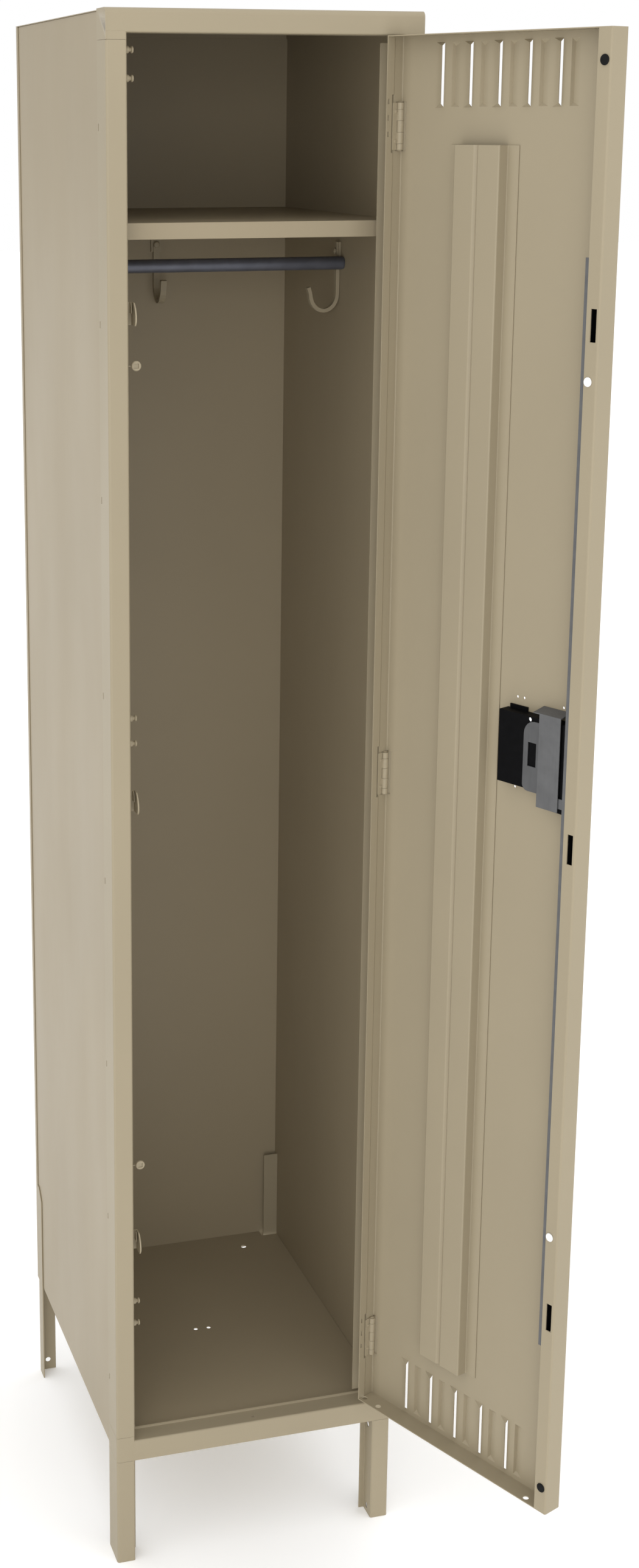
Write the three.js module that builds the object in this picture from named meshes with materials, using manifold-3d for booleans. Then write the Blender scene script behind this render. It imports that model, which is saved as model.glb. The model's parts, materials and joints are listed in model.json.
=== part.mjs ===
// Single-tier school locker on legs, door standing open. Millimetres, +Z up.
// Body frame while building: X right, Y back from the front face, Z up from the floor,
// with the left side at X = 0. The whole group is moved to its bottom centre at the end.
import * as THREE from 'three';
import { ConvexGeometry } from 'three/addons/geometries/ConvexGeometry.js';
import { mergeVertices } from 'three/addons/utils/BufferGeometryUtils.js';
import Module from 'manifold-3d';

const wasm = await Module();
wasm.setup();

// ---- Driving dimensions -------------------------------------------------------------
const WIDTH = 381;
const DEPTH = 495;
const HEIGHT = 1981.2;
const LEG = 150;
const GAP = 0.3;
const RUN = 0.07;

// Front frame, 1.5 mm sheet
const FRAME_T = 1.5;
const FACE = 24.5;
const SIDE_WEB = 42;
const JAMB = 28;
const STRIKE_LEFT = 6.5;
const STRIKE_RIGHT = 20;
const STRIKE_LEG = 7;
const SILL_Z = 179;
const STILE_Z0 = 185.5;
const STILE_Z1 = 1946.6;
const HEAD_Z = 1954.1;
const HEAD_ROUND = 7;

// Body panels, 1.0 mm sheet
const PANEL_T = 1.0;
const PANEL_X = FRAME_T + GAP;
const PANEL_Y0 = 30;
const WRAP = 10.7;
const FLOOR_Z = 176;
const SHELF_Z = 1743;
const SHELF_Y = 46;
const SHELF_LIP = 19;
const REAR_LEG_TOP = 310;
const REAR_LEG_SIDE = 25;
const REAR_LEG_BACK = 24;
const REAR_LEG_Y = DEPTH - WRAP - GAP;

// Coat rod and hooks
const ROD_Y = 255;
const ROD_Z = 1680;
const ROD_R = 8.5;
const HOOK_Y = 271;
const HOOK_TOP = 1706;
const HOOK_BEND = 1640;
const HOOK_R = 18.5;

// Door, 1.2 mm sheet. u runs from the hinge axis to the free edge, v inward.
const HINGE_X = 351.4;
const HINGE_Y = -3.6;
const OPEN_DEG = 114;
const DOOR_T = 1.2;
const U0 = -3.2;
const U1 = 326;
const V0 = -6;
const V1 = 21;
const DOOR_Z0 = 193.7;
const DOOR_Z1 = 1953.6;
const LIP = 18;
const JOGGLE_V = 9.5;
const JOGGLE = 1.0;
const HINGE_Z = [1852, 1067, 282];
const HINGE_H = 53.4;
const BARREL_R = 4.2;
const PIN_R = 1.8;
const LEAF_T = 1.1;
const KNUCKLES = [0, 0.135, 0.378, 0.622, 0.857, 1];

// Louvres: an open flap raised inward, a flat strip, then a closed dent pressed outward
const LOUVRE_U = 63.9;
const LOUVRE_PITCH = 43.7;
const LOUVRE_COUNT = 5;
const LOUVRE_ROWS = [[200.5, 272.5], [1873, 1945]];
const FLAP_REACH = 13;
const FLAP_RISE = 5.3;
const FLAP_END = 4;
const DENT_STEP = 10.6;
const DENT_REACH = 14.5;
const DENT_DEPTH = 3.8;
const DENT_LEAN = 1.8;

// Strike side, all heights above the floor. The frame's hooks and stops sit a little
// lower than the slots and plugs that meet them on the door.
const SLOT_Z = [1644.5, 1052.5, 460];
const STOP_Z = [1584, 565.5];
const BUMPER_Z = [1920, 228];
const STUD_Z = [1936.2, 1904.8, 1154.6, 1123, 370, 338.5];
const STRIKE_DROP = 3.5;
const HOOK_X = 35.2;
const STOP_X = 39;
const SLOT_U = 318;
const STOP_U = 314.2;
const BUMPER_U = 317.9;

// Latch
const CUP = { u0: 195.7, u1: 300, z0: 1105.7, z1: 1192.7, depth: 15.3, wall: 2 };
const LIFT = { u0: 235.5, u1: 262, z0: 1103.7, z1: 1188 };
const COVER = { u0: 259.2, u1: 290.9, z0: 1088.4, z1: 1200.3 };
const BAR_U = [301.4, 311.4];
const BAR_Z = [416, 1716];

// ---- Solids -------------------------------------------------------------------------
function solid(geometry) {
  const bare = geometry.clone();
  bare.deleteAttribute('normal');
  bare.deleteAttribute('uv');
  const merged = mergeVertices(bare, 1e-4);
  const mesh = new wasm.Mesh({
    numProp: 3,
    vertProperties: new Float32Array(merged.attributes.position.array),
    triVerts: new Uint32Array(merged.index.array),
  });
  mesh.merge();
  return new wasm.Manifold(mesh);
}

function toGeometry(shape) {
  const mesh = shape.getMesh();
  const geometry = new THREE.BufferGeometry();
  geometry.setAttribute('position', new THREE.BufferAttribute(mesh.vertProperties, 3));
  geometry.setIndex(new THREE.BufferAttribute(mesh.triVerts, 1));
  return geometry;
}

function join(shapes) {
  return shapes.reduce((total, shape) => total.add(shape));
}

function cut(shape, tools) {
  return tools.reduce((rest, tool) => rest.subtract(tool), shape);
}

function box(x0, x1, y0, y1, z0, z1) {
  const geometry = new THREE.BoxGeometry(x1 - x0, y1 - y0, z1 - z0);
  geometry.translate((x0 + x1) / 2, (y0 + y1) / 2, (z0 + z1) / 2);
  return solid(geometry);
}

// Cylinder between two values along one axis
function rod(axis, a, b, low, high, radius, segments = 24) {
  const geometry = new THREE.CylinderGeometry(radius, radius, high - low, segments);
  if (axis === 'x') {
    geometry.rotateZ(-Math.PI / 2);
    geometry.translate((low + high) / 2, a, b);
  } else if (axis === 'y') {
    geometry.translate(a, (low + high) / 2, b);
  } else {
    geometry.rotateX(Math.PI / 2);
    geometry.translate(a, b, (low + high) / 2);
  }
  return solid(geometry);
}

// Solid of revolution about an axis parallel to X, Y or Z, from [radius, along] pairs
function turned(axis, origin, profile, segments = 24) {
  const points = profile.map(([r, h]) => new THREE.Vector2(r, h));
  const geometry = new THREE.LatheGeometry(points, segments);
  if (axis === 'x') {
    geometry.rotateZ(-Math.PI / 2);
  } else if (axis === 'z') {
    geometry.rotateX(Math.PI / 2);
  }
  geometry.translate(...origin);
  return solid(geometry);
}

function extrude(outline, low, high, axis = 'z') {
  const shape = new THREE.Shape(outline.map(([a, b]) => new THREE.Vector2(a, b)));
  const geometry = new THREE.ExtrudeGeometry(shape, { depth: high - low, bevelEnabled: false });
  geometry.translate(0, 0, low);
  if (axis === 'x') {
    geometry.applyMatrix4(new THREE.Matrix4().set(0, 0, 1, 0, 1, 0, 0, 0, 0, 1, 0, 0, 0, 0, 0, 1));
  } else if (axis === 'y') {
    geometry.applyMatrix4(new THREE.Matrix4().set(0, 1, 0, 0, 0, 0, 1, 0, 1, 0, 0, 0, 0, 0, 0, 1));
  }
  return solid(geometry);
}

// Outline of a bent sheet: centre line points [a, b, bend radius]
function bentStrip(points, thickness, defaultRadius = 1.5, steps = 4) {
  const line = [];
  points.forEach(([a, b, radius = defaultRadius], i) => {
    const here = new THREE.Vector2(a, b);
    if (i === 0 || i === points.length - 1) {
      line.push(here);
      return;
    }
    const back = new THREE.Vector2(...points[i - 1].slice(0, 2)).sub(here).normalize();
    const ahead = new THREE.Vector2(...points[i + 1].slice(0, 2)).sub(here).normalize();
    const half = Math.acos(THREE.MathUtils.clamp(back.dot(ahead), -1, 1)) / 2;
    const reach = radius / Math.tan(half);
    const centre = back.clone().add(ahead).normalize().multiplyScalar(radius / Math.sin(half)).add(here);
    const from = back.clone().multiplyScalar(reach).add(here).sub(centre);
    const to = ahead.clone().multiplyScalar(reach).add(here).sub(centre);
    const turn = Math.atan2(from.cross(to), from.dot(to));
    for (let k = 0; k <= steps; k += 1) {
      line.push(from.clone().rotateAround(new THREE.Vector2(), (turn * k) / steps).add(centre));
    }
  });
  const left = [];
  const right = [];
  line.forEach((point, i) => {
    const a = line[Math.max(i - 1, 0)];
    const b = line[Math.min(i + 1, line.length - 1)];
    const before = point.clone().sub(i === 0 ? point.clone().multiplyScalar(2).sub(b) : a).normalize();
    const after = (i === line.length - 1 ? point.clone().multiplyScalar(2).sub(a) : b.clone()).sub(point).normalize();
    const along = before.clone().add(after).normalize();
    const widen = thickness / 2 / Math.max(along.dot(before), 0.5);
    left.push([point.x - along.y * widen, point.y + along.x * widen]);
    right.push([point.x + along.y * widen, point.y - along.x * widen]);
  });
  return left.concat(right.reverse());
}

function mirrored(outline) {
  return outline.map(([x, y]) => [WIDTH - x, y]);
}

function mirroredSolid(shape) {
  return shape.mirror([1, 0, 0]).translate([WIDTH, 0, 0]);
}

// ---- Parts --------------------------------------------------------------------------
const parts = [];

function add(name, shape, colour, { roughness = 0.5, metalness = 0.0, onDoor = false } = {}) {
  parts.push({ name, shape, colour, roughness, metalness, onDoor });
}

const PAINT = 0xb7ab90;
const ZINC = 0xa9abae;
const BLACK = 0x17171a;
const NYLON = 0xf2f1ec;
const ROD_BLUE = 0x4b4d57;

// Front frame ---------------------------------------------------------------------
const mid = FRAME_T / 2;

function hat(strike) {
  return bentStrip([
    [mid, SIDE_WEB],
    [mid, mid, 2.2],
    [FACE - mid, mid],
    [FACE - mid, JAMB - mid],
    [FACE + strike, JAMB - mid],
  ], FRAME_T);
}

const marks = [256, 488, 700, 944, 1181, 1421, 1628, 1851];
const sideMarks = marks.map((z) => box(-1, 3, 36, 38.5, z - 4, z + 4));
add('left_stile', cut(extrude(hat(STRIKE_LEFT), STILE_Z0 + GAP, STILE_Z1 - GAP), sideMarks), PAINT);
const rightStile = extrude(mirrored(hat(STRIKE_RIGHT)), STILE_Z0 + GAP, STILE_Z1 - GAP);
add('right_stile', cut(rightStile, sideMarks.map(mirroredSolid)), PAINT);

const headEnd = [[SIDE_WEB, STILE_Z1], [0, STILE_Z1], [0, HEIGHT - HEAD_ROUND]];
for (let k = 1; k <= 5; k += 1) {
  const a = (Math.PI / 2) * (k / 5);
  headEnd.push([HEAD_ROUND * (1 - Math.cos(a)), HEIGHT - HEAD_ROUND * (1 - Math.sin(a))]);
}
headEnd.push([SIDE_WEB, HEIGHT]);
const headProfile = bentStrip([
  [JAMB, HEAD_Z + mid],
  [mid, HEAD_Z + mid],
  [mid, HEIGHT - mid, HEAD_ROUND - mid],
  [PANEL_Y0 - GAP, HEIGHT - mid],
], FRAME_T, 1.5, 5);
const headEar = extrude(hat(STRIKE_LEFT), STILE_Z1, HEAD_Z + FRAME_T);
add('frame_header', join([
  extrude(headProfile, 0, WIDTH, 'x'),
  extrude(headEnd, 0, FRAME_T, 'x'),
  extrude(headEnd, WIDTH - FRAME_T, WIDTH, 'x'),
  headEar,
  mirroredSolid(headEar),
]), PAINT);

const railEar = extrude(hat(STRIKE_LEG), LEG, STILE_Z0);
const sillProfile = bentStrip([
  [mid, LEG],
  [mid, SILL_Z - mid],
  [JAMB - mid, SILL_Z - mid],
  [JAMB - mid, SILL_Z + 3],
], FRAME_T);
const sill = extrude(sillProfile, FACE - FRAME_T, WIDTH - FACE + FRAME_T, 'x');
const sillHole = rod('z', WIDTH / 2, 12, SILL_Z - 6, SILL_Z + 6, 2.5, 16);
add('bottom_rail', join([cut(sill, [sillHole]), railEar, mirroredSolid(railEar)]), PAINT);

function frontLeg() {
  const leg = extrude(hat(STRIKE_LEG), 0, LEG - GAP);
  const holes = [[16, 10], [17, 135]].map(([y, z]) => rod('x', y, z, FACE - 4, FACE + 4, 4, 20));
  return cut(leg, holes);
}
add('front_left_leg', frontLeg(), PAINT);
add('front_right_leg', mirroredSolid(frontLeg()), PAINT);

function rearLeg() {
  const angle = bentStrip([
    [mid, REAR_LEG_Y - REAR_LEG_SIDE],
    [mid, REAR_LEG_Y - mid],
    [REAR_LEG_BACK, REAR_LEG_Y - mid],
  ], FRAME_T);
  const leg = extrude(angle, 0, REAR_LEG_TOP);
  const corner = REAR_LEG_Y - REAR_LEG_SIDE;
  const chamfer = extrude([
    [corner - 1, REAR_LEG_TOP - 16],
    [corner, REAR_LEG_TOP - 16],
    [corner + 16, REAR_LEG_TOP],
    [corner + 16, REAR_LEG_TOP + 1],
    [corner - 1, REAR_LEG_TOP + 1],
  ], -1, 3, 'x');
  return cut(leg, [chamfer, rod('y', 12, 15.7, REAR_LEG_Y - 6, REAR_LEG_Y + 3, 3.8, 20)]);
}
add('rear_left_leg', rearLeg(), PAINT);
add('rear_right_leg', mirroredSolid(rearLeg()), PAINT);

// Body panels ---------------------------------------------------------------------
const PANEL_TOP = HEIGHT - FRAME_T - PANEL_T;
const BACK_Y = DEPTH - PANEL_T;

function sidePanel() {
  const sheet = box(PANEL_X, PANEL_X + PANEL_T, PANEL_Y0, BACK_Y - GAP, LEG + 2, PANEL_TOP - GAP);
  const legSlot = box(-1, 5, REAR_LEG_Y - FRAME_T - GAP, REAR_LEG_Y + GAP, 0, REAR_LEG_TOP + GAP);
  return cut(sheet, [legSlot]);
}
add('left_side_panel', sidePanel(), PAINT);
add('right_side_panel', mirroredSolid(sidePanel()), PAINT);

const backProfile = bentStrip([
  [1, DEPTH - WRAP],
  [1, DEPTH - 0.5],
  [WIDTH - 1, DEPTH - 0.5],
  [WIDTH - 1, DEPTH - WRAP],
], PANEL_T, 0.6, 2);
add('back_panel', extrude(backProfile, LEG + 3, PANEL_TOP - GAP), PAINT);

// Folded tray: flat sheet with a flange hanging from each edge
function tray(x0, x1, y0, y1, top, front, sides) {
  const sheet = box(x0, x1, y0, y1, top - PANEL_T, top);
  return join([
    sheet,
    box(x0 + 1.5, x1 - 1.5, y0, y0 + PANEL_T, top - front, top),
    box(x0 + 1.5, x1 - 1.5, y1 - PANEL_T, y1, top - sides, top),
    box(x0, x0 + PANEL_T, y0, y1, top - sides, top),
    box(x1 - PANEL_T, x1, y0, y1, top - sides, top),
  ]);
}
const IN_X0 = PANEL_X + PANEL_T + GAP;
const IN_X1 = WIDTH - IN_X0;

const headNotch = box(-1, PANEL_X, 0, SIDE_WEB + GAP, PANEL_TOP - 20, HEIGHT);
const topSheet = cut(
  box(GAP, WIDTH - GAP, PANEL_Y0, DEPTH, PANEL_TOP, PANEL_TOP + PANEL_T),
  [headNotch, mirroredSolid(headNotch)],
);
const topTray = tray(IN_X0, IN_X1, PANEL_Y0, BACK_Y - GAP, PANEL_TOP + 0.5, 12, 12);
add('top_panel', join([topSheet, topTray]), PAINT);

const legNotches = [
  box(0, 27.5, REAR_LEG_Y - FRAME_T - 3, DEPTH, LEG, FLOOR_Z + 1),
  box(WIDTH - 27.5, WIDTH, REAR_LEG_Y - FRAME_T - 3, DEPTH, LEG, FLOOR_Z + 1),
];
const floorHoles = [[179, 247, 3], [198, 246, 3], [316, 455, 4]].map(
  ([x, y, r]) => rod('z', x, y, FLOOR_Z - 4, FLOOR_Z + 4, r, 20),
);
const floor = tray(IN_X0, IN_X1, PANEL_Y0, BACK_Y - GAP, FLOOR_Z, 14, 14);
add('bottom_panel', cut(floor, legNotches.concat(floorHoles)), PAINT);
add('hat_shelf', tray(IN_X0, IN_X1, SHELF_Y, BACK_Y - GAP, SHELF_Z, SHELF_LIP, 12), PAINT);

// Coat rod and wall hooks -----------------------------------------------------------
const rodTube = [
  [ROD_R - 1.4, IN_X0],
  [ROD_R - 0.8, IN_X0],
  [ROD_R, IN_X0 + 2.5],
  [ROD_R, IN_X1 - 2.5],
  [ROD_R - 0.8, IN_X1],
  [ROD_R - 1.4, IN_X1],
  [ROD_R - 1.4, IN_X0],
];
add('coat_rod', turned('x', [0, ROD_Y, ROD_Z], rodTube), ROD_BLUE, { metalness: 0.6, roughness: 0.4 });

// Hook profile: a is the distance out from the wall face
function hookProfile(sign, wall) {
  const face = 2.6;
  const points = [[wall + sign * face, HOOK_TOP]];
  for (let k = 0; k <= 12; k += 1) {
    const a = (Math.PI * k) / 12;
    points.push([
      wall + sign * (face + HOOK_R - HOOK_R * Math.cos(a)),
      HOOK_BEND - HOOK_R * 1.2 * Math.sin(a),
      0.5,
    ]);
  }
  points.push([wall + sign * (face + 2 * HOOK_R + 2.5), HOOK_BEND + 8]);
  return bentStrip(points, 4.6, 0.5, 1);
}
const hookPad = 7;
add('wall_hook_right', join([
  extrude(hookProfile(-1, IN_X1).map(([x, z]) => [z, x]), HOOK_Y - 4, HOOK_Y + 4, 'y'),
  box(IN_X1 - 3, IN_X1, HOOK_Y - hookPad, HOOK_Y + hookPad, HOOK_TOP - 22, HOOK_TOP),
]), PAINT);
const WALL_Y = BACK_Y - GAP;
add('wall_hook_rear', join([
  extrude(hookProfile(-1, WALL_Y), WIDTH / 2 - 4, WIDTH / 2 + 4, 'x'),
  box(WIDTH / 2 - hookPad, WIDTH / 2 + hookPad, WALL_Y - 3, WALL_Y, HOOK_TOP - 22, HOOK_TOP),
]), PAINT);
const boltHead = [[0, 0], [4.6, 0], [4.6, 1.6], [3.4, 3.2], [0, 3.8]];
add('hook_bolt_right', turned('x', [IN_X1 - 4.9 - GAP, HOOK_Y, HOOK_TOP - 12],
  boltHead.map(([r, h]) => [r, -h]).reverse(), 18), PAINT);
add('hook_bolt_rear', turned('y', [WIDTH / 2, WALL_Y - 4.9 - GAP, HOOK_TOP - 12],
  boltHead.map(([r, h]) => [r, -h]).reverse(), 18), PAINT);

// Strike side of the frame ----------------------------------------------------------
const STRIKE_Y = JAMB - FRAME_T - GAP;
const STRIKE_X = FACE + GAP;

// Hook fin in the YZ plane: a blade that droops towards its lower front corner
function hookFin(z) {
  const base = STRIKE_Y - 0.5;
  const blade = new THREE.CubicBezierCurve(
    new THREE.Vector2(15, z + 13.2),
    new THREE.Vector2(8, z + 8),
    new THREE.Vector2(0.5, z - 6),
    new THREE.Vector2(9.5, z - 13.2),
  );
  const rim = blade.getPoints(12).map((point) => [point.x, point.y]);
  return [[base, z + 13.2], ...rim, [base, z - 13.2]];
}

SLOT_Z.forEach((slotZ, i) => {
  const z = slotZ - STRIKE_DROP;
  const ear = [
    [STRIKE_Y - 0.5, z + 13.2],
    [19.5, z + 13.2],
    [17, z + 7],
    [16.4, z + 0.5],
    [STRIKE_Y - 0.5, z + 0.5],
  ];
  add(`latch_hook_${i + 1}`, join([
    box(STRIKE_X, HOOK_X + 0.9, STRIKE_Y - 1.5, STRIKE_Y, z - 13.2, z + 13.2),
    extrude(hookFin(z), HOOK_X - 0.9, HOOK_X + 0.9, 'x'),
    extrude(ear, HOOK_X - 3, HOOK_X - 2, 'x'),
  ]), PAINT);
});
STOP_Z.forEach((plugZ, i) => {
  const z = plugZ - STRIKE_DROP;
  const disc = turned('y', [STOP_X, 0, z], [
    [0, 19.8], [5.2, 19.8], [6, 20.6], [6, 22.3], [0, 22.3],
  ]);
  add(`frame_stop_${i + 1}`, join([
    cut(disc, [box(STOP_X - 2.8, STOP_X + 2.8, 19, 21.2, z - 2.8, z + 2.8)]),
    box(STRIKE_X, STOP_X, 22, STRIKE_Y, z - 0.5, z + 0.5),
  ]), PAINT);
});
STUD_Z.forEach((z, i) => {
  add(`stile_stud_${i + 1}`, turned('x', [STRIKE_X, 22, z], [
    [0, 0], [4.2, 0], [4.2, 6], [3.9, 6.9], [2.5, 8.2], [2.1, 9.4],
    [3.4, 10], [4, 10.6], [4, 11.6], [3.2, 12.5], [0, 12.5],
  ], 20), PAINT);
});

// Door, built closed and swung open at the end ---------------------------------------
function doorBox(u0, u1, v0, v1, z0, z1) {
  return box(HINGE_X - u1, HINGE_X - u0, HINGE_Y + v0, HINGE_Y + v1, z0, z1);
}

function doorOutline(outline) {
  return outline.map(([u, v]) => [HINGE_X - u, HINGE_Y + v]);
}

function doorHole(u, z, radius, v0, v1, segments = 20) {
  return rod('y', HINGE_X - u, z, HINGE_Y + v0, HINGE_Y + v1, radius, segments);
}

// Wedge rising from the sheet at u = root to its full height near u = tip, with sloped ends.
// The steep wall at the tip leans back by the last argument.
function wedge(root, tip, base, peak, z0, z1, footing, lean = 0) {
  const points = [];
  [base, footing].forEach((v) => {
    [root, tip].forEach((u) => {
      [z0, z1].forEach((z) => points.push([u, v, z]));
    });
  });
  points.push([tip + lean, peak, z0 + FLAP_END], [tip + lean, peak, z1 - FLAP_END]);
  const geometry = new ConvexGeometry(
    points.map(([u, v, z]) => new THREE.Vector3(HINGE_X - u, HINGE_Y + v, z)),
  );
  return solid(geometry);
}

const td = DOOR_T / 2;
const SHEET_IN = V0 + DOOR_T;
const panProfile = bentStrip([
  [U0 + td + JOGGLE, V1],
  [U0 + td + JOGGLE, JOGGLE_V + 0.8, 0.6],
  [U0 + td, JOGGLE_V - 0.8, 0.6],
  [U0 + td, V0 + td, 1.8],
  [U1 - td, V0 + td, 1.8],
  [U1 - td, V1 - td, 1.8],
  [U1 - LIP, V1 - td],
], DOOR_T);
let pan = join([
  extrude(doorOutline(panProfile), DOOR_Z0, DOOR_Z1),
  doorBox(U0 + 1.6, U1 - 1.0, V0 + 1.0, V1, DOOR_Z1 - DOOR_T, DOOR_Z1),
  doorBox(U0 + 1.6, U1 - 1.0, V0 + 1.0, V1, DOOR_Z0, DOOR_Z0 + DOOR_T),
]);

LOUVRE_ROWS.forEach(([z0, z1]) => {
  for (let i = 0; i < LOUVRE_COUNT; i += 1) {
    const slot = LOUVRE_U + i * LOUVRE_PITCH;
    const dent = slot + DENT_STEP;
    pan = join([
      pan,
      wedge(slot - FLAP_REACH, slot, SHEET_IN - 0.2, SHEET_IN + FLAP_RISE, z0, z1, SHEET_IN),
      wedge(dent + DENT_REACH, dent, V0 + 0.2, V0 - DENT_DEPTH, z0, z1, V0, DENT_LEAN),
    ]);
    const inner = [dent + DENT_REACH, dent + DOOR_T, SHEET_IN, SHEET_IN - DENT_DEPTH];
    pan = cut(pan, [
      wedge(slot - FLAP_REACH, slot + 0.02, V0, V0 + FLAP_RISE, z0, z1, V0 - 2),
      wedge(...inner, z0 + 0.6, z1 - 0.6, SHEET_IN + 2, DENT_LEAN),
    ]);
  }
});

const panCuts = [
  doorBox(CUP.u0 + 4, CUP.u1 - 6, V0 - 2, SHEET_IN + 2, CUP.z0 + 4, CUP.z1 - 2.5),
  ...[[209, 1207], [219.2, 1207.3], [278.5, 1207.5], [209.7, 1097.7]].map(
    ([u, z]) => doorHole(u, z, 1.6, V0 - 2, SHEET_IN + 2, 16),
  ),
  ...[[3, 13.6], [28.5, 13.6], [288.4, 13.6]].map(
    ([u, v]) => rod('z', HINGE_X - u, HINGE_Y + v, DOOR_Z0 - 2, DOOR_Z0 + 4, 3.8, 20),
  ),
  ...SLOT_Z.map((z) => doorBox(SLOT_U - 4, SLOT_U + 4, V1 - 3, V1 + 2, z - 17.9, z + 17.9)),
];
HINGE_Z.forEach((z, i) => {
  panCuts.push(doorBox(U0 - 1, 5.2, V0 - 1, 5.2, z - 28, z + 28));
  panCuts.push(doorBox(U0 - 1, 1, JOGGLE_V - 1.1, JOGGLE_V + 3.6, z - 30, z + 36));
  if (i !== 1) {
    [-9, 9.5, 28].forEach((step) => {
      panCuts.push(doorBox(U0 - 1, 1, V1 - 4, V1 - 1.4, z + step - 3, z + step + 3));
    });
  }
});
add('door_pan', cut(pan, panCuts), PAINT, { onDoor: true });

const footV = SHEET_IN + GAP + 0.5;
const ridgeV = SHEET_IN + 14;
const stiffener = bentStrip([
  [79.5, footV],
  [94, footV],
  [96.5, ridgeV],
  [126, ridgeV],
  [129.3, ridgeV - 3, 1.0],
  [132.7, ridgeV],
  [164, ridgeV],
  [165, footV],
  [182, footV],
], 1.0, 1.5, 3);
add('door_stiffener', extrude(doorOutline(stiffener), 303.5, 1832), PAINT, { onDoor: true });

BUMPER_Z.forEach((z, i) => {
  add(`door_bumper_${i + 1}`, turned('y', [HINGE_X - BUMPER_U, HINGE_Y + V1 + GAP, z], [
    [0, 0], [5.8, 0], [5.8, 0.9], [5, 1.6], [0, 1.6],
  ]), BLACK, { onDoor: true, roughness: 0.8 });
});
STOP_Z.forEach((z, i) => {
  add(`door_plug_${i + 1}`, turned('y', [HINGE_X - STOP_U, HINGE_Y + V1 + GAP, z], [
    [0, 0], [5.3, 0], [5.3, 0.8], [4.6, 1.6], [0, 1.6],
  ]), NYLON, { onDoor: true, roughness: 0.4 });
});

// Hinges ------------------------------------------------------------------------------
HINGE_Z.forEach((zc, i) => {
  const z0 = zc - HINGE_H / 2;
  const name = ['top', 'middle', 'bottom'][i];
  const knuckle = (k) => {
    const low = z0 + KNUCKLES[k] * HINGE_H + (k === 0 ? 0 : 0.15);
    const high = z0 + KNUCKLES[k + 1] * HINGE_H - (k === 4 ? 0 : 0.15);
    return [low, high];
  };
  const barrel = (k) => rod('z', HINGE_X, HINGE_Y, ...knuckle(k), BARREL_R, 28);
  const bore = rod('z', HINGE_X, HINGE_Y, z0 - 2, z0 + HINGE_H + 2, PIN_R + RUN, 24);
  const jamb = WIDTH - FACE - GAP;
  const clear = (k) => {
    const [low, high] = knuckle(k);
    return rod('z', HINGE_X, HINGE_Y, low - 0.3, high + 0.3, BARREL_R + 0.5, 28);
  };
  const web = box(jamb - LEAF_T, jamb, HINGE_Y + 0.6, 23, z0, z0 + HINGE_H);
  let frameLeaf = cut(web, [1, 3].map(clear));
  frameLeaf = join([frameLeaf, barrel(0), barrel(2), barrel(4)]);
  add(`hinge_${name}_frame_leaf`, cut(frameLeaf, [bore]), PAINT);

  const plate = doorBox(-1.7, -0.6, 0, JOGGLE_V + 1.6, z0, z0 + HINGE_H);
  const rivets = [-17, 17].map((step) => rod('x', HINGE_Y + 6.6, zc + step, HINGE_X - 0.2, HINGE_X + 1, 1.9, 14));
  let doorLeaf = cut(join([plate, ...rivets]), [0, 2, 4].map(clear));
  doorLeaf = join([doorLeaf, barrel(1), barrel(3)]);
  add(`hinge_${name}_door_leaf`, cut(doorLeaf, [bore]), PAINT, { onDoor: true });

  const head = HINGE_H / 2 + GAP;
  add(`hinge_${name}_pin`, turned('z', [HINGE_X, HINGE_Y, zc], [
    [0, -head - 1],
    [2, -head - 0.8],
    [3, -head],
    [PIN_R, -head],
    [PIN_R, head],
    [3, head],
    [2, head + 0.8],
    [0, head + 1],
  ]), PAINT);
});

// Latch -------------------------------------------------------------------------------
const cupIn = SHEET_IN + GAP;
const cupBack = cupIn + CUP.depth;
add('handle_housing', cut(join([
  doorBox(CUP.u0, CUP.u1, cupIn, cupBack, CUP.z0, CUP.z1),
  doorBox(CUP.u0 + 4, CUP.u0 + 31, cupIn, cupIn + 1.6, CUP.z1 - 3, CUP.z1 + 5),
  doorBox(282, 298.5, cupIn, cupBack, 1087, CUP.z0 + 2),
]), [
  doorBox(CUP.u0 + 2, CUP.u1 - 2, cupIn - 1, cupBack - CUP.wall, CUP.z0 + 2, CUP.z1 - 2),
  doorHole(242.4, 1189, 2.6, 0, cupBack + 2, 16),
]), BLACK, { onDoor: true, roughness: 0.45 });

// Corner arcs of the lift plate, as [u, z]
function corner(u, z, radius, start) {
  return [0, 1, 2, 3, 4, 5, 6].map((k) => {
    const a = start + (Math.PI / 2) * (k / 6);
    return [u + radius * Math.cos(a), z + radius * Math.sin(a)];
  });
}
const liftV = cupBack + GAP;
const liftOutline = [
  ...corner(LIFT.u0 + 16, LIFT.z1 - 16, 16, Math.PI / 2),
  ...corner(LIFT.u0 + 8, LIFT.z0 + 8, 8, Math.PI),
  [LIFT.u1, LIFT.z0],
  [LIFT.u1, LIFT.z1],
].map(([u, z]) => [z, HINGE_X - u]);
const lift = extrude(liftOutline, HINGE_Y + liftV, HINGE_Y + liftV + 1.5, 'y');
add('lift_plate', cut(lift, [doorBox(242.2, 254.8, liftV - 1, liftV + 3, 1134, 1162.5)]), ZINC,
  { onDoor: true, metalness: 0.7, roughness: 0.4 });

// The cover's top edge is folded back towards the door sheet, rising a little
const coverV = liftV + 1.5 + GAP;
const coverTop = [
  [coverV, COVER.z1 - 1.3],
  [coverV + 1.3, COVER.z1 - 1.3],
  [coverV + 1.3, COVER.z1],
  [SHEET_IN + 0.6, COVER.z1 + 4],
  [SHEET_IN + 0.6, COVER.z1 + 2.7],
].map(([v, z]) => [HINGE_Y + v, z]);
add('latch_plate', join([
  doorBox(COVER.u0, COVER.u1, coverV, coverV + 1.3, COVER.z0, COVER.z1),
  extrude(coverTop, HINGE_X - COVER.u1, HINGE_X - 250, 'x'),
]), ZINC, { onDoor: true, metalness: 0.7, roughness: 0.4 });

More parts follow.
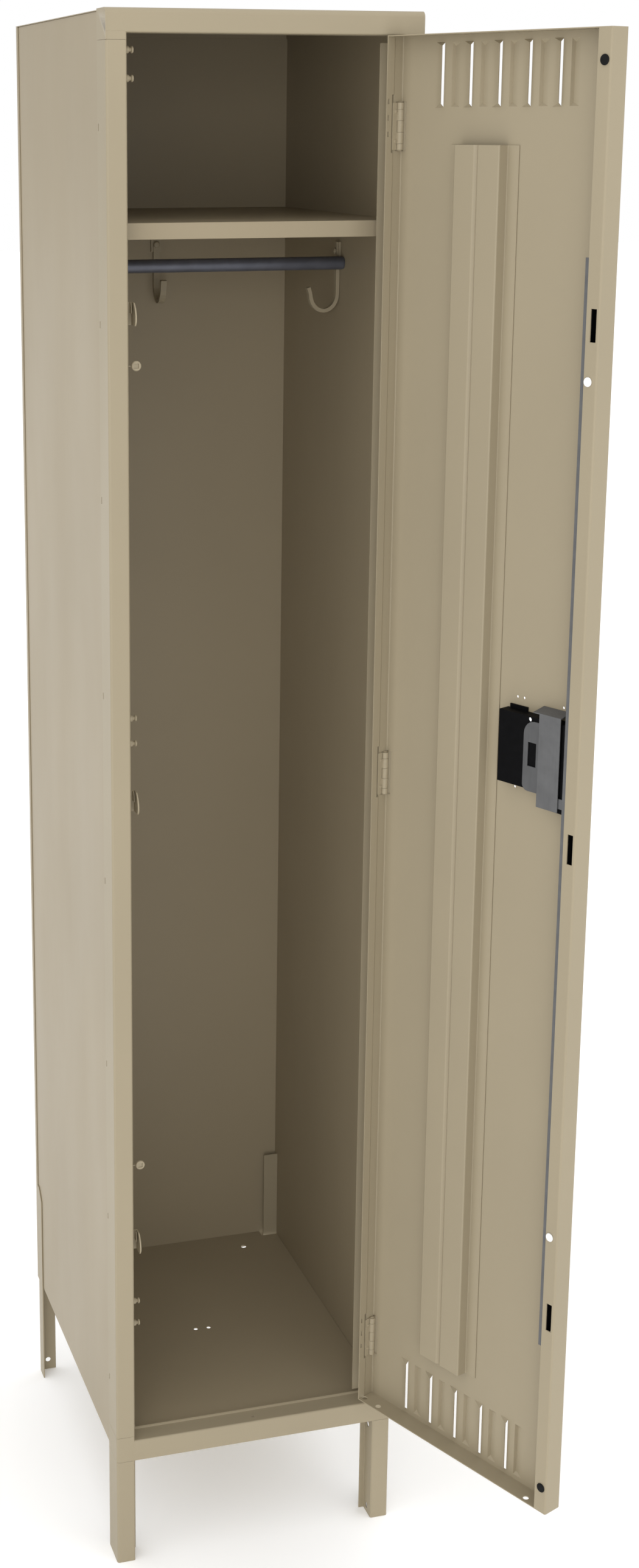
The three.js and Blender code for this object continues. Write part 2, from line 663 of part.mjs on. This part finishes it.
// The lock bar slides behind the lip and carries a moulded clip at each slot
const barV = V1 - DOOR_T - 2.6;
add('lock_bar', join([
  doorBox(BAR_U[0], BAR_U[1], barV, barV + 1.3, ...BAR_Z),
  doorBox(BAR_U[0], BAR_U[0] + 1.3, liftV, barV + 1.3, 1093, 1105),
  doorBox(286, BAR_U[0] + 1.3, liftV, liftV + 1.2, 1093, 1105),
]), ZINC, { onDoor: true, metalness: 0.7, roughness: 0.4 });
SLOT_Z.forEach((z, i) => {
  const u0 = BAR_U[1] + GAP;
  const u1 = U1 - DOOR_T - 0.9;
  add(`latch_clip_${i + 1}`, join([
    doorBox(u0, u1, 6, 8, z - 24, z + 22),
    doorBox(u0, u0 + 1.4, 6, V1 - DOOR_T - 0.4, z - 24, z + 22),
    doorBox(u1 - 1.4, u1, 6, V1 - DOOR_T - 0.4, z - 24, z + 22),
  ]), BLACK, { onDoor: true, roughness: 0.6 });
});

// ---- Assembly -------------------------------------------------------------------------
const group = new THREE.Group();
group.name = 'school_locker';
const swing = new THREE.Matrix4()
  .makeTranslation(HINGE_X, HINGE_Y, 0)
  .multiply(new THREE.Matrix4().makeRotationZ(THREE.MathUtils.degToRad(OPEN_DEG)))
  .multiply(new THREE.Matrix4().makeTranslation(-HINGE_X, -HINGE_Y, 0));
parts.forEach(({ name, shape, colour, roughness, metalness, onDoor }) => {
  const geometry = toGeometry(shape);
  if (onDoor) {
    geometry.applyMatrix4(swing);
  }
  const mesh = new THREE.Mesh(geometry, new THREE.MeshStandardMaterial({ color: colour, roughness, metalness }));
  mesh.name = name;
  group.add(mesh);
});

// Origin at the bottom centre of the whole part as it stands, door open
const bounds = new THREE.Box3();
group.children.forEach((mesh) => {
  mesh.geometry.computeBoundingBox();
  bounds.union(mesh.geometry.boundingBox);
});
const centre = bounds.getCenter(new THREE.Vector3());
group.children.forEach((mesh) => {
  mesh.geometry.translate(-centre.x, -centre.y, -bounds.min.z);
  mesh.geometry.computeVertexNormals();
});

export default group;
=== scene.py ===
"""School locker with its door standing open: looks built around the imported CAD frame."""
import json
import math

import bpy
from mathutils import Matrix, Vector


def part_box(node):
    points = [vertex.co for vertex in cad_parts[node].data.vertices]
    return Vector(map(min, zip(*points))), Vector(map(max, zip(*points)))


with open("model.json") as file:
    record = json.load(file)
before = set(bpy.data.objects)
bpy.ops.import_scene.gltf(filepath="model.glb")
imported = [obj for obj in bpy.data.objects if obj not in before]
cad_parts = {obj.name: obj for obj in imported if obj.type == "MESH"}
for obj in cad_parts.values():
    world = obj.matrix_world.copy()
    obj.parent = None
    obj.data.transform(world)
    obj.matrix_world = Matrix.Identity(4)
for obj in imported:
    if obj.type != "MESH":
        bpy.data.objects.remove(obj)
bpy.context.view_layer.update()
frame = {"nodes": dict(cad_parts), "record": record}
NODES = frame["nodes"]
SLOT_OF = {entry["node"]: entry["material_slot"] for entry in frame["record"]["subparts"]}
MM = 0.001
WHITE = (1.0, 1.0, 1.0, 1.0)


# ---- Shader helpers -----------------------------------------------------------------
# The middle of a noise texture's output, where nearly all of its values are
NOISE_RANGE = (0.3, 0.7)
# Sockets of a Mix node that mixes colours
MIX_FACTOR, MIX_FIRST, MIX_SECOND, MIX_RESULT = 0, 6, 7, 2
# The bevelled normal is this close to the true one on an outer edge and on a flat
EDGE_COSINES = (0.80, 0.99)
EDGE_SAMPLES = 4


def new_material(name):
    material = bpy.data.materials.new(name)
    material.use_nodes = True
    tree = material.node_tree
    return material, tree.nodes, tree.links, tree.nodes["Principled BSDF"]


def join(links, value, socket):
    """Sets a socket to a plain value, or links it to another node's output."""
    if isinstance(value, (float, tuple)):
        socket.default_value = value
    else:
        links.new(value, socket)


def object_noise(nodes, links, scale, detail=3.0, stretch=(1.0, 1.0, 1.0)):
    """Noise fixed to the object. The scale is in features per metre."""
    coords = nodes.new("ShaderNodeTexCoord")
    mapping = nodes.new("ShaderNodeMapping")
    mapping.inputs["Scale"].default_value = stretch
    noise = nodes.new("ShaderNodeTexNoise")
    noise.inputs["Scale"].default_value = scale
    noise.inputs["Detail"].default_value = detail
    links.new(coords.outputs["Object"], mapping.inputs["Vector"])
    links.new(mapping.outputs["Vector"], noise.inputs["Vector"])
    return noise.outputs["Fac"]


def remap(nodes, links, value, low, high, source=NOISE_RANGE):
    node = nodes.new("ShaderNodeMapRange")
    node.inputs["From Min"].default_value = source[0]
    node.inputs["From Max"].default_value = source[1]
    node.inputs["To Min"].default_value = low
    node.inputs["To Max"].default_value = high
    links.new(value, node.inputs["Value"])
    return node.outputs["Result"]


def mix(nodes, links, factor, first, second):
    node = nodes.new("ShaderNodeMix")
    node.data_type = "RGBA"
    join(links, factor, node.inputs[MIX_FACTOR])
    join(links, first, node.inputs[MIX_FIRST])
    join(links, second, node.inputs[MIX_SECOND])
    return node.outputs[MIX_RESULT]


def product(nodes, links, first, second):
    node = nodes.new("ShaderNodeMath")
    node.operation = "MULTIPLY"
    join(links, first, node.inputs[0])
    join(links, second, node.inputs[1])
    return node.outputs[0]


def edge_mask(nodes, links, radius):
    """1 along the outer edges of a sheet and 0 on its flats, from the bevelled normal."""
    bevel = nodes.new("ShaderNodeBevel")
    bevel.samples = EDGE_SAMPLES
    bevel.inputs["Radius"].default_value = radius
    geometry = nodes.new("ShaderNodeNewGeometry")
    dot = nodes.new("ShaderNodeVectorMath")
    dot.operation = "DOT_PRODUCT"
    links.new(bevel.outputs["Normal"], dot.inputs[0])
    links.new(geometry.outputs["Normal"], dot.inputs[1])
    return remap(nodes, links, dot.outputs["Value"], 1.0, 0.0, EDGE_COSINES)


def add_bump(nodes, links, shader, height, strength, distance):
    bump = nodes.new("ShaderNodeBump")
    bump.inputs["Strength"].default_value = strength
    bump.inputs["Distance"].default_value = distance
    links.new(height, bump.inputs["Height"])
    links.new(bump.outputs["Normal"], shader.inputs["Normal"])


def tint(colour, gain):
    return tuple(min(c * gain, 1.0) for c in colour[:3]) + (1.0,)


# ---- Materials ----------------------------------------------------------------------
def enamel(name, colour, roughness=0.42, edge_wear_and_highlight=0.25):
    """Baked enamel on sheet steel: slight orange peel, slow colour drift, edges paler in patches,
    partly rubbed paint and partly a painted highlight.
    """
    drift_scale, smear_scale, patch_scale, peel_scale, speck_scale = 3.0, 9.0, 45.0, 420.0, 900.0
    drift_dark, drift_light, speck_dark, edge_highlight_gain = 0.965, 1.03, 0.82, 1.45
    upright_smear = (1.0, 1.0, 0.35)

    material, nodes, links, shader = new_material(name)
    drift = remap(nodes, links, object_noise(nodes, links, drift_scale, 4.0), 0.0, 1.0)
    base = mix(nodes, links, drift, tint(colour, drift_dark), tint(colour, drift_light))
    specks = object_noise(nodes, links, speck_scale, 2.0)
    speck_amount = remap(nodes, links, specks, 0.0, 0.10, (0.55, 0.85))
    base = mix(nodes, links, speck_amount, base, tint(colour, speck_dark))
    # Edges lighter in patches: partly rubbed paint, partly a painted highlight where light catches
    # the rounded edge
    edge = edge_mask(nodes, links, 0.9 * MM)
    patches = remap(nodes, links, object_noise(nodes, links, patch_scale), 0.2, 1.0)
    worn_and_highlit = product(nodes, links, product(nodes, links, edge, patches), edge_wear_and_highlight)
    base = mix(nodes, links, worn_and_highlit, base, tint(colour, edge_highlight_gain))
    links.new(base, shader.inputs["Base Color"])

    smear = object_noise(nodes, links, smear_scale, 5.0, upright_smear)
    rough = remap(nodes, links, smear, roughness - 0.03, roughness + 0.04)
    links.new(rough, shader.inputs["Roughness"])
    peel = object_noise(nodes, links, peel_scale, 2.0)
    add_bump(nodes, links, shader, peel, strength=0.16, distance=0.05 * MM)
    shader.inputs["Specular IOR Level"].default_value = 0.26
    return material


def metal(name, colour, roughness, metallic, grain=(1.0, 1.0, 0.04)):
    """Plated or drawn steel with a fine grain, drawn out along the axis of the low grain value."""
    grain_scale, cloud_scale = 700.0, 60.0
    cloud_dark, cloud_light, edge_highlight_gain, edge_wear_and_highlight = 0.9, 1.1, 1.7, 0.3

    material, nodes, links, shader = new_material(name)
    lines = object_noise(nodes, links, grain_scale, 3.0, grain)
    cloud = remap(nodes, links, object_noise(nodes, links, cloud_scale, 4.0), 0.0, 1.0)
    base = mix(nodes, links, cloud, tint(colour, cloud_dark), tint(colour, cloud_light))
    # Edges lighter: partly worn plating, partly a painted highlight on the edges
    worn_and_highlit = product(nodes, links, edge_mask(nodes, links, 0.6 * MM), edge_wear_and_highlight)
    base = mix(nodes, links, worn_and_highlit, base, tint(colour, edge_highlight_gain))
    links.new(base, shader.inputs["Base Color"])

    rough = remap(nodes, links, lines, roughness - 0.06, roughness + 0.10)
    links.new(rough, shader.inputs["Roughness"])
    add_bump(nodes, links, shader, lines, strength=0.12, distance=0.03 * MM)
    shader.inputs["Metallic"].default_value = metallic
    return material


def moulded(name, colour, roughness, grain=1500.0, strength=0.2, gloss=0.1):
    """Moulded plastic or rubber with a fine spark-eroded grain."""
    cloud_scale, cloud_dark, cloud_light = 120.0, 0.85, 1.2

    material, nodes, links, shader = new_material(name)
    cloud = remap(nodes, links, object_noise(nodes, links, cloud_scale), 0.0, 1.0)
    base = mix(nodes, links, cloud, tint(colour, cloud_dark), tint(colour, cloud_light))
    links.new(base, shader.inputs["Base Color"])

    pits = object_noise(nodes, links, grain, 2.0)
    rough = remap(nodes, links, pits, roughness - 0.05, roughness + 0.08)
    links.new(rough, shader.inputs["Roughness"])
    add_bump(nodes, links, shader, pits, strength, distance=0.04 * MM)
    shader.inputs["Specular IOR Level"].default_value = gloss
    return material


PUTTY = (0.325, 0.275, 0.187)
# A darker, warmer copy of the putty: painted shade on the panels
PANEL_PUTTY_IN_PAINTED_SHADE = (0.316, 0.262, 0.174)
FITTING_PUTTY = tint(PUTTY, 1.02)
ROD_BLUE_GREY = (0.115, 0.120, 0.145)
ZINC_GREY = (0.112, 0.113, 0.115)
# The lift plate's zinc, darker than the rest: painted shade, as the plate sits set back beside the
# cover
ZINC_GREY_IN_PAINTED_SHADE = (0.088, 0.089, 0.091)
HOUSING_BLACK = (0.0030, 0.0030, 0.0034)
RUBBER_BLACK = (0.010, 0.010, 0.010)
NYLON_WHITE = (0.86, 0.86, 0.83)
ALONG_THE_ROD = (0.03, 1.0, 1.0)

MATERIALS = {
    "frame_paint": enamel("frame_paint", PUTTY),
    # The panels take the darker, warmer putty: painted shade
    "panel_paint": enamel("panel_paint", PANEL_PUTTY_IN_PAINTED_SHADE, edge_wear_and_highlight=0.15),
    "door_paint": enamel("door_paint", PUTTY),
    "fitting_paint": enamel("fitting_paint", FITTING_PUTTY, roughness=0.38, edge_wear_and_highlight=0.45),
    "rod_steel": metal("rod_steel", ROD_BLUE_GREY, 0.42, metallic=0.5, grain=ALONG_THE_ROD),
    "latch_zinc": metal("latch_zinc", ZINC_GREY, 0.5, metallic=0.25),
    # The lift plate takes the darker zinc: painted shade
    "lift_zinc": metal("lift_zinc", ZINC_GREY_IN_PAINTED_SHADE, 0.5, metallic=0.25),
    "housing_black": moulded("housing_black", HOUSING_BLACK, 0.55, gloss=0.06),
    "bumper_rubber": moulded("bumper_rubber", RUBBER_BLACK, 0.8, grain=900.0, strength=0.35),
    "plug_nylon": moulded("plug_nylon", NYLON_WHITE, 0.4, grain=600.0, strength=0.1, gloss=0.4),
}


# ---- CAD nodes ----------------------------------------------------------------------
WELD_DISTANCE = 0.005 * MM
FLAT_ANGLE = math.radians(0.6)
ROUNDING_WIDTH = 0.3 * MM
ROUNDING_SEGMENTS = 2
SHARP_ANGLE = math.radians(28.0)
LARGE_FACES_FIRST = 100
# Hooks and hinges keep their triangles: joined into one face, a hook's side closes over its mouth
TRIANGULAR = ("wall_hook", "hinge")


def finish_node(name):
    """Gives a CAD node its material, a fine rounding on its edges and clean shading."""
    node = NODES[name]
    node.data.materials.clear()
    node.data.materials.append(MATERIALS[SLOT_OF[name]])
    for polygon in node.data.polygons:
        polygon.use_smooth = True
    joined = node.modifiers.new("joined", "WELD")
    joined.merge_threshold = WELD_DISTANCE
    if not name.startswith(TRIANGULAR):
        flatten = node.modifiers.new("flatten", "DECIMATE")
        flatten.decimate_type = "DISSOLVE"
        flatten.angle_limit = FLAT_ANGLE
    rounding = node.modifiers.new("rounding", "BEVEL")
    rounding.width = ROUNDING_WIDTH
    rounding.segments = ROUNDING_SEGMENTS
    rounding.limit_method = "ANGLE"
    rounding.angle_limit = SHARP_ANGLE
    flats = node.modifiers.new("flats", "WEIGHTED_NORMAL")
    flats.weight = LARGE_FACES_FIRST


for node_name in NODES:
    finish_node(node_name)


# ---- Stage --------------------------------------------------------------------------
FLOOR_HALF_SIDE = 30.0
FLOOR_COLOUR = (0.96, 0.96, 0.96, 1.0)
FLOOR_ROUGHNESS, FLOOR_GLOSS, FLOOR_GLOW = 0.9, 0.1, 0.12

# Strength of the surroundings: horizon to overhead, left to right, and front to back
WORLD_UPWARDS = (1.10, 1.52)
WORLD_SIDEWAYS = (1.02, 0.89)
WORLD_BACKWARDS = (1.0, 0.55)
WORLD_SEEN = 1.0

# Name, place, aim and side in metres, and power in watts
LIGHTS = (
    ("key", (-1.5, -4.0, 1.6), (0.0, 0.0, 0.8), 2.2, 28.0),
    ("fill", (2.6, -3.4, 2.0), (0.0, -0.1, 1.0), 2.0, 6.0),
)

# The camera stands to the left of the frame's front left corner, and in front of it
CAMERA_LEFT, CAMERA_AHEAD, CAMERA_HEIGHT = 0.6074, 2.4565, 1.855
CAMERA_YAW, CAMERA_PITCH = math.radians(15.81), math.radians(-13.93)
CAMERA_SENSOR, CAMERA_LENS = 36.0, 50.17
CAMERA_SHIFT = (0.0879, -0.0754)


def link_to_scene(thing):
    bpy.context.scene.collection.objects.link(thing)


def add_floor():
    half = FLOOR_HALF_SIDE
    corners = [(-half, -half, 0), (half, -half, 0), (half, half, 0), (-half, half, 0)]
    mesh = bpy.data.meshes.new("studio_floor")
    mesh.from_pydata(corners, [], [(0, 1, 2, 3)])
    floor = bpy.data.objects.new("studio_floor", mesh)
    link_to_scene(floor)
    material, _, _, shader = new_material("studio_floor")
    shader.inputs["Base Color"].default_value = FLOOR_COLOUR
    shader.inputs["Roughness"].default_value = FLOOR_ROUGHNESS
    shader.inputs["Specular IOR Level"].default_value = FLOOR_GLOSS
    shader.inputs["Emission Color"].default_value = WHITE
    shader.inputs["Emission Strength"].default_value = FLOOR_GLOW
    mesh.materials.append(material)


def add_light(name, place, aim, side, power):
    data = bpy.data.lights.new(name, "AREA")
    data.shape = "SQUARE"
    data.size = side
    data.energy = power
    light = bpy.data.objects.new(name, data)
    light.location = place
    beam = Vector(aim) - Vector(place)
    light.rotation_euler = beam.to_track_quat("-Z", "Y").to_euler()
    link_to_scene(light)


def add_world():
    """White surroundings: brightest overhead, dimmer behind, plain where the camera sees them."""
    world = bpy.data.worlds.new("studio")
    world.use_nodes = True
    nodes, links = world.node_tree.nodes, world.node_tree.links
    background = nodes["Background"]
    coords = nodes.new("ShaderNodeTexCoord")
    axes = nodes.new("ShaderNodeSeparateXYZ")
    links.new(coords.outputs["Generated"], axes.inputs[0])
    height = remap(nodes, links, axes.outputs["Z"], *WORLD_UPWARDS, source=(0.0, 1.0))
    side = remap(nodes, links, axes.outputs["X"], *WORLD_SIDEWAYS, source=(-1.0, 1.0))
    depth = remap(nodes, links, axes.outputs["Y"], *WORLD_BACKWARDS, source=(-0.1, 1.0))
    level = product(nodes, links, product(nodes, links, height, side), depth)
    rays = nodes.new("ShaderNodeLightPath")
    seen = nodes.new("ShaderNodeMix")
    links.new(rays.outputs["Is Camera Ray"], seen.inputs["Factor"])
    links.new(level, seen.inputs["A"])
    seen.inputs["B"].default_value = WORLD_SEEN
    background.inputs["Color"].default_value = WHITE
    links.new(seen.outputs["Result"], background.inputs["Strength"])
    bpy.context.scene.world = world


def add_camera():
    """Looks in from the front left, a little below the locker's top and tilted down."""
    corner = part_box("left_stile")[0]
    level = math.cos(CAMERA_PITCH)
    forward = Vector((math.sin(CAMERA_YAW) * level, math.cos(CAMERA_YAW) * level,
                      math.sin(CAMERA_PITCH)))
    right = Vector((math.cos(CAMERA_YAW), -math.sin(CAMERA_YAW), 0.0))
    up = right.cross(forward)
    data = bpy.data.cameras.new("camera")
    data.sensor_width = CAMERA_SENSOR
    data.lens = CAMERA_LENS
    data.shift_x, data.shift_y = CAMERA_SHIFT
    camera = bpy.data.objects.new("camera", data)
    camera.matrix_world = Matrix((right, up, -forward)).transposed().to_4x4()
    camera.location = (corner.x - CAMERA_LEFT, corner.y - CAMERA_AHEAD, CAMERA_HEIGHT)
    link_to_scene(camera)
    bpy.context.scene.camera = camera


add_floor()
add_world()
for light_row in LIGHTS:
    add_light(*light_row)
add_camera()
bpy.context.scene.view_settings.view_transform = "Standard"
